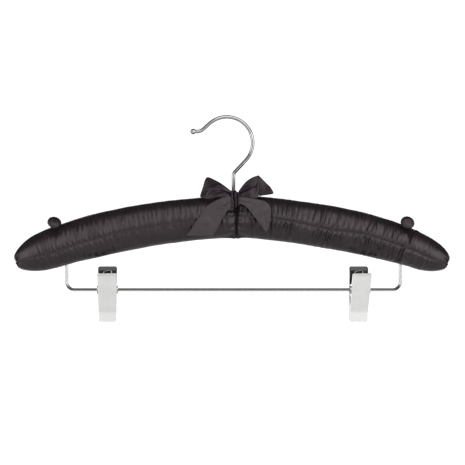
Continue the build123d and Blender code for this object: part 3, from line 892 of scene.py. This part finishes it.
def sew_sleeve(side, sign, sizes):
    """One satin sleeve: cut flat, wrapped, sewn along the front, gathered and settled."""
    sleeve = cloth_panel(f"{side}_satin_sleeve", *SLEEVE_FACES)
    way, turn = wrap_sleeve(sleeve, side, sign, SLEEVE_FACES[0])
    for name, values in (("way", way), ("turn", turn)):
        sleeve.data.attributes.new(name, "FLOAT", "POINT").data.foreach_set("value", values.astype(np.float32))
    weld(sleeve, 2e-6)
    way, turn = read_layer(sleeve, "way"), read_layer(sleeve, "turn")
    turn = np.where(turn > math.pi, turn - 2 * math.pi, turn)
    smooth_arm = points_of(sleeve)
    relief = gathers(side, way, turn, sizes.gather_height) + lumps(smooth_arm) * sizes.lump_height
    placed = smooth_arm + outward(sleeve) * relief[:, None]
    move_points(sleeve, placed)
    pins = np.zeros(len(placed))
    pins[(np.abs(turn) < SEAM_BAND) | (way < 0.5 * MM) | (way > way.max() - 0.5 * MM)] = 1.0
    spare = 1 + sizes.gather * (0.4 + 0.6 * np.cos(turn * 0.5) ** 2)
    rest = placed * SETTLE_SCALE
    rest[:, 0] = rest[:, 0] * spare
    move_points(sleeve, placed * SETTLE_SCALE)
    moved = settle(sleeve, pins, rest, SETTLE_STEPS) / SETTLE_SCALE - placed
    length = np.linalg.norm(moved, axis=1)
    share = np.minimum(1, sizes.puff_limit / np.maximum(length, 1e-9))
    move_points(sleeve, placed + moved * share[:, None])
    seam = points_of(sleeve)[np.abs(turn) < SEAM_BAND]
    seam = seam[np.argsort(np.abs(seam[:, 0]))]
    for name in ("way", "turn"):
        sleeve.data.attributes.remove(sleeve.data.attributes[name])
    refine(sleeve)
    return sleeve, seam


def sew_stitches(side, seam, length, spacing):
    """A row of short stitches along the front seam, each a bead of thread drawn out along it."""
    way = np.concatenate([[0], np.cumsum(np.linalg.norm(np.diff(seam, axis=0), axis=1))])
    places = np.arange(10 * MM, way[-1] - 8 * MM, spacing)
    deselect_all()
    bpy.ops.mesh.primitive_uv_sphere_add(segments=8, ring_count=6, radius=0.5, location=(0, 0, 0))
    stitch = bpy.context.object
    bead = points_of(stitch)
    faces = [tuple(face.vertices) for face in stitch.data.polygons]
    bpy.data.objects.remove(stitch, do_unlink=True)
    points, polygons = [], []
    for place in places:
        middle, ahead = (np.array([np.interp(place + step, way, seam[:, axis]) for axis in range(3)])
                         for step in (0, MM))
        tangent = (ahead - middle) / np.linalg.norm(ahead - middle)
        side_way = np.cross(tangent, (0, -1, 0))
        side_way /= np.linalg.norm(side_way)
        face_way = np.cross(side_way, tangent)
        base = len(points) * len(bead)
        points.append(
            middle + 0.12 * MM * np.sign(face_way[1]) * -face_way + bead[:, :1] * length * tangent
            + bead[:, 1:2] * 0.5 * MM * side_way + bead[:, 2:] * 0.5 * MM * face_way)
        polygons += [tuple(base + i for i in face) for face in faces]
    mesh = bpy.data.meshes.new(f"{side}_seam_stitches")
    mesh.from_pydata(np.concatenate(points).tolist(), [], polygons)
    row = bpy.data.objects.new(f"{side}_seam_stitches", mesh)
    bpy.context.scene.collection.objects.link(row)
    weld(row, 1e-9)
    smooth(row)
    return row


class HANGER_OT_sleeves(bpy.types.Operator):
    """The two satin sleeves over the padding, with their front seams."""

    bl_idname = "hanger.sleeves"
    bl_label = "Sleeves"

    def execute(self, context):
        sizes, colours = context.scene.hanger_sizes, context.scene.hanger_colours
        satin = satin_finish("arm_satin", colours.satin, (700, 360), spread=0.3)
        thread = thread_finish("seam_thread", colours.thread)
        for side, sign in SIDES:
            sleeve, seam = sew_sleeve(side, sign, sizes)
            sleeve.data.materials.append(satin)
            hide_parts(f"{side}_sleeve", f"{side}_padding")
            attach(sleeve, "hanger")
            row = sew_stitches(side, seam, sizes.stitch, sizes.stitch * 1.35)
            row.data.materials.append(thread)
            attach(row, "hanger")
        return {"FINISHED"}


# ---- bow
# Each ribbon lies between its two woven edges, given in millimetres from the knot outwards.
BOW = {
    "bow_left_loop": (
        ((-1.8, -15.5, -63.4), (-6.1, -17, -60.6), (-11.5, -18, -58.5), (-16.8, -18, -59.8), (-22.0, -16.5, -63.0),
         (-25.2, -14.5, -66.8), (-29.2, -12, -68.1), (-27.0, -9, -60.1), (-23.5, -8, -51.2), (-15.8, -8.5, -53.7),
         (-9.5, -9, -57.4), (-3.5, -9.5, -61.9)),
        ((-2.6, -16.5, -68.6), (-6.1, -17.5, -68.4), (-10.0, -18.5, -68.4), (-13.5, -18.8, -68.6),
         (-16.9, -18.5, -69.6),
         (-20.9, -17, -70.3), (-25.4, -13.5, -69.7), (-25.1, -9.5, -68.0), (-22.3, -7.5, -67.0), (-16.2, -7, -66.1),
         (-10.1, -7.5, -65.7), (-3.1, -8.5, -65.8)),
    ),
    "bow_right_loop": (
        ((4.3, -15.5, -63.4), (9.5, -17, -56.6), (14.8, -17.5, -52.4), (20.7, -16.5, -50.0), (22.8, -15, -50.5),
         (28.2, -12.5, -55.9), (32.4, -11.5, -60.1), (34.7, -11, -65.6), (26.7, -8.5, -65.3), (16.2, -7.5, -63.5),
         (5.7, -9, -63.1)),
        ((4.8, -16.5, -68.3), (10.0, -18.3, -69.0), (15.2, -18.8, -69.6), (20.1, -17.5, -69.7), (21.6, -15.5, -67.9),
         (21.1, -14, -65.1), (22.2, -13, -67.3), (23.1, -12, -67.5), (20.6, -9, -66.8), (14.4, -8, -66.2),
         (5.7, -9, -66.5)),
    ),
    "bow_left_tail": (
        ((-1.3, -18, -67.8), (-10.0, -18.5, -69.5), (-21.4, -18.2, -75.3), (-27.8, -18.3, -83.4),
         (-33.4, -18.6, -91.6),
         (-40.7, -17.5, -102.3)),
        ((1.3, -18, -75.6), (-3.3, -18.6, -77.9), (-7.0, -18.7, -83.4), (-10.9, -18.8, -89.9), (-14.3, -18.8, -96.4),
         (-17.8, -18.2, -102.3)),
    ),
    "bow_right_tail": (
        ((3.9, -17.5, -68.6), (12.6, -18.3, -69.4), (21.2, -18, -70.9), (27.8, -17.6, -72.6), (31.3, -17.6, -76.4),
         (32.8, -18, -80.8), (31.9, -18.4, -88.6), (30.6, -18, -95.9), (28.4, -17.8, -98.7)),
        ((4.3, -18.3, -74.3), (8.2, -18.8, -75.6), (12.2, -18.9, -78.5), (15.2, -18.8, -82.1), (18.2, -18.8, -86.0),
         (21.2, -18.8, -90.2), (23.8, -18.6, -93.6), (26.2, -18.2, -96.6), (27.5, -17.9, -98.3)),
    ),
    "bow_knot": (
        ((1.3, -6.5, -64.4), (-3.5, -9, -64.5), (-4.1, -13.5, -64.4), (-2.2, -18, -64.3), (0.9, -19.5, -64.2),
         (4.3, -18.5, -64.3), (6.3, -13.5, -64.4), (5.9, -9, -64.5), (1.3, -6.5, -64.4)),
        ((1.3, -7, -67.5), (-3.2, -10.5, -69.7), (-3.7, -14.8, -73.8), (-1.7, -18.6, -76.9), (1.5, -20, -78.2),
         (4.4, -18.8, -76.5), (5.9, -14.8, -73.3), (5.6, -10.5, -69.7), (1.3, -7, -67.5)),
    ),
}
# Creases pressed into each ribbon: place along and across (0 to 1), direction in degrees, length and width as
# shares of the ribbon's length, and depth in millimetres (down is into the ribbon).
CREASES = {
    "bow_left_loop": ((0.10, 0.5, 8, 0.3, 0.02, -1.2), (0.2, 0.35, -8, 0.25, 0.022, -0.9),
                      (0.3, 0.6, 5, 0.2, 0.022, 0.9), (0.72, 0.3, 4, 0.25, 0.02, 0.5)),
    "bow_right_loop": ((0.1, 0.45, 6, 0.3, 0.02, -1.2), (0.17, 0.6, -6, 0.25, 0.022, 1.0),
                       (0.30, 0.5, 60, 0.3, 0.03, -1.4), (0.36, 0.3, 75, 0.3, 0.02, 0.7)),
    "bow_left_tail": ((0.25, 0.35, 20, 0.16, 0.018, -0.7), (0.33, 0.25, 35, 0.12, 0.016, -0.5),
                      (0.12, 0.5, 4, 0.3, 0.03, 0.5), (0.7, 0.6, 12, 0.3, 0.05, 0.35)),
    "bow_right_tail": ((0.12, 0.4, 5, 0.3, 0.03, -0.5), (0.5, 0.5, 80, 0.3, 0.05, 0.5),
                       (0.75, 0.5, 10, 0.3, 0.05, -0.3)),
    "bow_knot": ((0.33, 0.5, 90, 0.7, 0.018, -1.9), (0.405, 0.5, 86, 0.5, 0.02, 0.9),
                 (0.47, 0.55, 94, 0.7, 0.018, -2.2),
                 (0.535, 0.5, 90, 0.6, 0.02, 1.0), (0.60, 0.5, 88, 0.7, 0.018, -1.9), (0.2, 0.5, 90, 0.6, 0.02, -0.9),
                 (0.75, 0.5, 90, 0.6, 0.02, -0.9)),
}
# Faces of each ribbon's panel, along and across.
RIBBON_FACES = (110, 34)


def through(keys, t):
    """A smooth line through points, read at t from 0 to 1."""
    keys = np.array(keys, float)
    place = np.clip(t, 0, 1) * (len(keys) - 1)
    i = np.minimum(place.astype(int), len(keys) - 2)
    u = (place - i)[:, None]
    p0, p1, p2, p3 = (keys[np.clip(i + k, 0, len(keys) - 1)] for k in (-1, 0, 1, 2))
    bend, twist = 2 * p0 - 5 * p1 + 4 * p2 - p3, 3 * p1 - p0 - 3 * p2 + p3
    return 0.5 * (2 * p1 + (p2 - p0) * u + bend * u**2 + twist * u**3)


def lay_ribbon(name, edges, creases, thickness, closed):
    """A ribbon between two woven edges, creased, with real thickness."""
    ribbon = cloth_panel(name, *RIBBON_FACES)
    flat = points_of(ribbon)
    t, s = flat[:, 0], flat[:, 1]
    top, low = through(edges[0], t), through(edges[1], t)
    co = (low + (top - low) * s[:, None]) * MM
    move_points(ribbon, co)
    if closed:
        weld(ribbon, 2e-5)
        t, s = read_uv_along(ribbon)
        co = points_of(ribbon)
    relief = np.zeros(len(t))
    for along, across, turn, length, width, depth in creases:
        du, dv = t - along, (s - across) * 0.35
        c, d = math.cos(math.radians(turn)), math.sin(math.radians(turn))
        run, off = du * c + dv * d, -du * d + dv * c
        relief += depth * MM * np.exp(-((run / (length * 0.5)) ** 2)) * np.exp(-((off / width) ** 2))
    relief += 0.16 * MM * np.sin(t * 31 + 3 * s) * np.sin(s * 5 + 2)
    facing = outward(ribbon)
    facing[:] = np.where((facing[:, 1:2] > 0) & (not closed), -facing, facing)
    move_points(ribbon, co + facing * relief[:, None])
    thicken(ribbon, thickness)
    refine(ribbon)
    return ribbon


def read_uv_along(piece):
    """Each point's place along and across the ribbon, from its UV map."""
    mesh = piece.data
    corner = np.empty(len(mesh.loops), np.int32)
    mesh.loops.foreach_get("vertex_index", corner)
    place = np.zeros((len(mesh.vertices), 2))
    place[corner] = read_all(mesh.uv_layers.active.data, "uv", 2)
    return place[:, 0], place[:, 1]


def wind_collar(thickness):
    """A turn of ribbon round the stem."""
    low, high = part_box("bow_collar")
    middle, radius = (low + high) / 2, (high.x - low.x) / 2 - thickness
    deselect_all()
    bpy.ops.mesh.primitive_cylinder_add(
        vertices=72, radius=radius, depth=high.z - low.z, end_fill_type="NOTHING", location=middle, calc_uvs=True
    )
    collar = bpy.context.object
    bpy.ops.object.transform_apply(location=True)
    collar.name = collar.data.name = "bow_collar_turn"
    edit_all((bpy.ops.mesh.subdivide, {"number_cuts": 5}))
    co = points_of(collar)
    around = np.arctan2(co[:, 1] - middle.y, co[:, 0] - middle.x)
    level = (co[:, 2] - low.z) / (high.z - low.z)
    fold = 0.22 * MM * np.sin(9 * around + 5 * level) + 0.25 * MM * np.sin(level * math.pi)
    grow = 1 + fold / radius
    co[:, 0] = middle.x + (co[:, 0] - middle.x) * grow
    co[:, 1] = middle.y + (co[:, 1] - middle.y) * grow
    move_points(collar, co)
    thicken(collar, thickness)
    apply_modifiers(collar)
    smooth(collar)
    return collar, (2 * math.pi * radius, high.z - low.z)


class HANGER_OT_bow(bpy.types.Operator):
    """The ribbon bow and its turn round the stem."""

    bl_idname = "hanger.bow"
    bl_label = "Bow"

    def execute(self, context):
        sizes, colours = context.scene.hanger_sizes, context.scene.hanger_colours
        satin = satin_finish("ribbon_satin", colours.ribbon, (260, 90), spread=0.12, gloss=0.45, shine=0.34)
        # the loops, knot and collar take the darker copy of the ribbon satin, painted shade
        inner = satin_finish("ribbon_satin_painted_shade", colours.painted_shade_ribbon, (260, 90), spread=0.3, gloss=0.31, shine=0.31)
        for node, edges in BOW.items():
            ribbon = lay_ribbon(f"{node}_ribbon", edges, CREASES[node], sizes.ribbon_thickness, node == "bow_knot")
            ribbon.data.materials.append(satin if node.endswith("tail") else inner)
            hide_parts(node)
            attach(ribbon, "hanger")
        collar, (length, width) = wind_collar(sizes.ribbon_thickness)
        collar.data.materials.append(inner)
        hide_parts("bow_collar")
        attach(collar, "hanger")
        return {"FINISHED"}


# ---- buttons
# Middle of each button, tilt up from the front and turn to the right, in millimetres and degrees.
BUTTON_SEATS = {"left": ((-156.5, -10.6, -91.0), 47, 25), "right": ((151.8, -11.2, -91.0), 60, 14)}
BUTTON_RADIUS = 6.0 * MM
BUTTON_DOME = 3.2 * MM
SHANK_TURNS = 8


def seated(co, side):
    """Points of a button that faces up at the middle, moved to its seat on the arm."""
    middle, tilt, turn = BUTTON_SEATS[side]
    seat = Matrix.Translation(Vector(middle) * MM) @ Matrix.Rotation(math.radians(turn), 4, "Y") @ Matrix.Rotation(
        math.radians(tilt), 4, "X")
    return co @ np.array(seat.to_3x3()).T + np.array(seat.translation)


def cover_button(side):
    """Satin drawn over the dome and gathered behind it."""
    deselect_all()
    bpy.ops.mesh.primitive_uv_sphere_add(segments=96, ring_count=48, radius=1, calc_uvs=True)
    cover = bpy.context.object
    cover.name = cover.data.name = f"{side}_button_satin"
    co = points_of(cover)
    around, height = np.arctan2(co[:, 1], co[:, 0]), np.clip(co[:, 2], -1, 1)
    across = np.sqrt(1 - height**2)
    rim = np.exp(-(((across - 0.93) / 0.16) ** 2))
    draw = np.random.default_rng(5 if side == "left" else 9)
    folds = sum(draw.uniform(0.3, 1) * np.sin(count * around + draw.uniform(0, 6.28))
                for count in (17, 23, 29, 37))
    radius = BUTTON_RADIUS * (across**0.9 + 0.02 * folds * rim) * 1.015
    front = BUTTON_DOME * 1.03 * np.clip(height, 0, 1) ** 0.85
    behind = -1.35 * MM * np.clip(-height, 0, 1) ** 0.6
    co[:, 0], co[:, 1] = radius * np.cos(around), radius * np.sin(around)
    wrinkle = 0.10 * MM * folds * soft_step((across - 0.25) / 0.6)
    hollow = -0.25 * MM * np.exp(-((across / 0.3) ** 2))
    co[:, 2] = np.where(height > 0, front + (wrinkle + hollow) * (height > 0.02), behind)
    move_points(cover, seated(co, side))
    smooth(cover)
    return cover


def wind_shank(side):
    """Thread wound round the button's shank down to the sleeve."""
    deselect_all()
    bpy.ops.mesh.primitive_torus_add(
        major_radius=1.25 * MM, minor_radius=0.32 * MM, major_segments=32, minor_segments=10)
    turn_of_thread = bpy.context.object
    stack = turn_of_thread.modifiers.new("turns", "ARRAY")
    stack.count, stack.use_relative_offset, stack.use_constant_offset = SHANK_TURNS, False, True
    stack.constant_offset_displace = (0, 0, -0.52 * MM)
    apply_modifiers(turn_of_thread)
    turn_of_thread.name = turn_of_thread.data.name = f"{side}_button_winding"
    co = points_of(turn_of_thread)
    co[:, 2] -= 1.6 * MM
    move_points(turn_of_thread, seated(co, side))
    smooth(turn_of_thread)
    return turn_of_thread


class HANGER_OT_buttons(bpy.types.Operator):
    """Satin covers and wound shanks of the strap buttons."""

    bl_idname = "hanger.buttons"
    bl_label = "Buttons"

    def execute(self, context):
        colours = context.scene.hanger_colours
        satin = satin_finish("button_satin", colours.satin, (60, 60), spread=0.3)
        thread = thread_finish("shank_thread", colours.thread)
        for side, _ in SIDES:
            cover = cover_button(side)
            cover.data.materials.append(satin)
            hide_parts(f"{side}_button_cover")
            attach(cover, "hanger")
            shank = wind_shank(side)
            shank.data.materials.append(thread)
            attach(shank, "hanger")
            dress(f"{side}_button_thread", thread)
        return {"FINISHED"}


# ---- springs
class HANGER_OT_springs(bpy.types.Operator):
    """The clips' springs, copied from the CAD parts, welded and shaded smoothly."""

    bl_idname = "hanger.springs"
    bl_label = "Clip springs"

    def execute(self, context):
        chrome = context.scene.hanger_colours.chrome
        steel = plated_finish("spring_wire", times(chrome, 0.4), 0.22, (2500, 2500, 2500), 0.1)
        for side, _ in SIDES:
            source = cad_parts[f"{side}_clip_spring"]
            spring = bpy.data.objects.new(f"{side}_clip_spring_coils", source.data.copy())
            context.scene.collection.objects.link(spring)
            weld(spring, 1e-7)
            spring.data.materials.clear()
            spring.data.materials.append(steel)
            pick(spring)
            bpy.ops.object.shade_smooth_by_angle(angle=math.radians(50))
            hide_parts(source.name)
            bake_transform(spring)
        return {"FINISHED"}


# ---- panel and registration
class HANGER_PT_panel(bpy.types.Panel):
    """Lists the hanger's pieces and their settings."""

    bl_label = "Padded Clip Hanger"
    bl_idname = "HANGER_PT_panel"
    bl_space_type = "VIEW_3D"
    bl_region_type = "UI"
    bl_category = "Hanger"

    def draw(self, context):
        for operator in OPERATORS:
            self.layout.operator(operator.bl_idname)
        for group in (context.scene.hanger_sizes, context.scene.hanger_colours):
            box = self.layout.box()
            for name in group.bl_rna.properties.keys():
                if name not in ("rna_type", "name"):
                    box.prop(group, name)


OPERATORS = (HANGER_OT_stage, HANGER_OT_hardware, HANGER_OT_wires, HANGER_OT_sleeves, HANGER_OT_bow,
             HANGER_OT_buttons, HANGER_OT_springs)
CLASSES = (HangerSizes, HangerColours, *OPERATORS, HANGER_PT_panel)


def register():
    """Add the classes and the scene's settings."""
    for cls in CLASSES:
        bpy.utils.register_class(cls)
    bpy.types.Scene.hanger_sizes = bpy.props.PointerProperty(type=HangerSizes)
    bpy.types.Scene.hanger_colours = bpy.props.PointerProperty(type=HangerColours)


def unregister():
    """Take them away again."""
    del bpy.types.Scene.hanger_colours
    del bpy.types.Scene.hanger_sizes
    for cls in reversed(CLASSES):
        bpy.utils.unregister_class(cls)


def main():
    """Build everything in order."""
    register()
    bpy.ops.hanger.stage()
    bpy.ops.hanger.hardware()
    bpy.ops.hanger.wires()
    bpy.ops.hanger.sleeves()
    bpy.ops.hanger.bow()
    bpy.ops.hanger.buttons()
    bpy.ops.hanger.springs()


if __name__ == "__main__":
    main()
